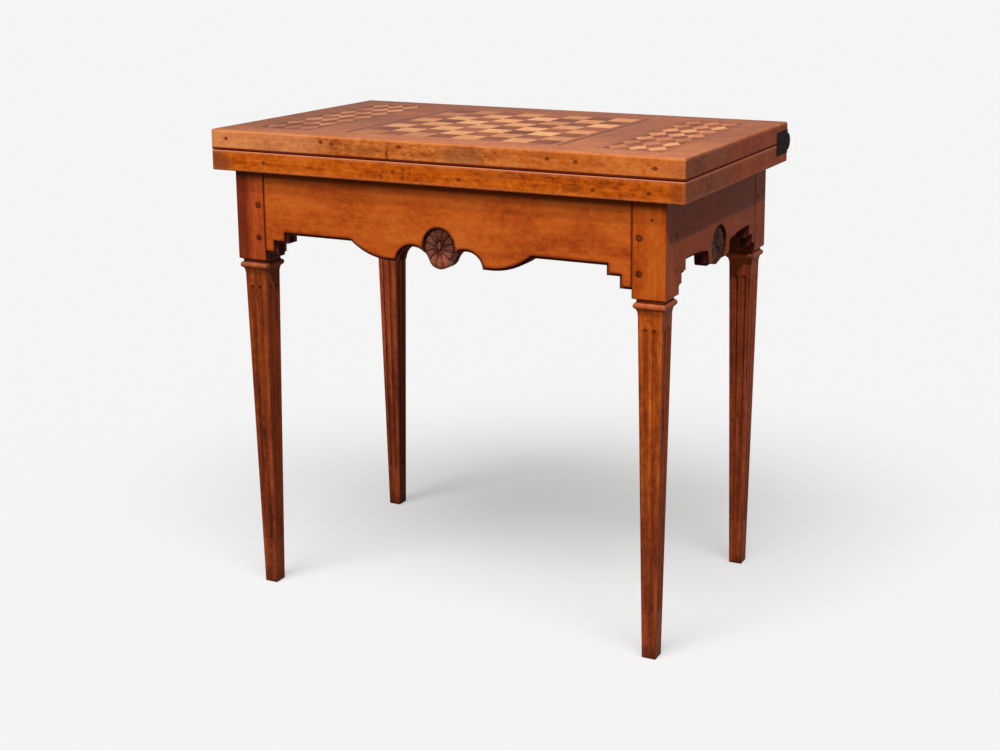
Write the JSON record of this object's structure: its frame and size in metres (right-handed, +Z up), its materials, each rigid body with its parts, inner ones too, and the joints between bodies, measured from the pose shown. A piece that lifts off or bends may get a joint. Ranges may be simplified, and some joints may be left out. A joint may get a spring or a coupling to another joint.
{
  "type": "chess table",
  "caption": "Fold-over game table with an inlaid chessboard top, carved aprons, square tapered fluted legs and a swing leg that carries the opened leaf.",
  "frame": {"origin": "on the floor, under the middle of the closed table's bounding box", "axes": "+Z up, +X along the table, +Y towards the hinged back edge"},
  "size_m": [0.796, 0.4844, 0.76],
  "materials": {
    "top_wood": "satin, waxed, worn paler at the front arris",
    "frame_wood": "satin, waxed",
    "leg_wood": "satin, waxed, darker than the aprons",
    "carved_wood": "dark in the cuts, rubbed on the high parts",
    "inner_wood": "unpolished secondary wood",
    "light_inlay": "satin",
    "dark_inlay": "satin",
    "peg_wood": "dark end grain",
    "iron": "blackened, dull",
    "screw_steel": "aged"
  },
  "bodies": {
    "frame": {"lower_front_board": "top_wood", "lower_back_board": "top_wood", "lower_edge_plugs": "peg_wood", "right_lower_hinge_plate": "iron", "left_lower_hinge_plate": "iron", "right_hinge_pin": "iron", "left_hinge_pin": "iron", "lower_hinge_screws": "iron", "front_apron": "frame_wood", "left_apron": "frame_wood", "right_apron": "frame_wood", "front_rosette": "carved_wood", "left_rosette": "carved_wood", "right_rosette": "carved_wood", "front_left_leg": "leg_wood", "front_right_leg": "leg_wood", "rear_right_leg": "leg_wood", "frame_pegs": "peg_wood", "inner_back_rail": "inner_wood", "outer_back_rail": "inner_wood", "glue_blocks": "inner_wood", "block_screws": "screw_steel", "outer_rail_screws": "screw_steel", "gate_pin": "iron"},
    "upper_leaf": {"upper_front_board": "top_wood", "upper_back_board": "top_wood", "upper_edge_plugs": "peg_wood", "light_squares": "light_inlay", "dark_squares": "dark_inlay", "board_side_bands": "dark_inlay", "light_lozenges": "light_inlay", "dark_lozenges": "dark_inlay", "panel_stringing": "dark_inlay", "right_upper_hinge_plate": "iron", "left_upper_hinge_plate": "iron", "upper_hinge_screws": "iron"},
    "gate": {"rear_left_leg": "leg_wood", "fly_rail": "inner_wood", "gate_pegs": "peg_wood"}
  },
  "joints": [
    {"name": "top_hinge", "type": "hinge", "parent": "frame", "child": "upper_leaf", "pos_m": [0, 0.2282, 0.7276], "axis": [-1, 0, 0], "range_deg": [0, 180]},
    {"name": "gate_swing", "type": "hinge", "parent": "frame", "child": "gate", "pos_m": [-0.01, 0.20405, 0.6475], "axis": [0, 0, -1], "range_deg": [0, 90]}
  ]
}
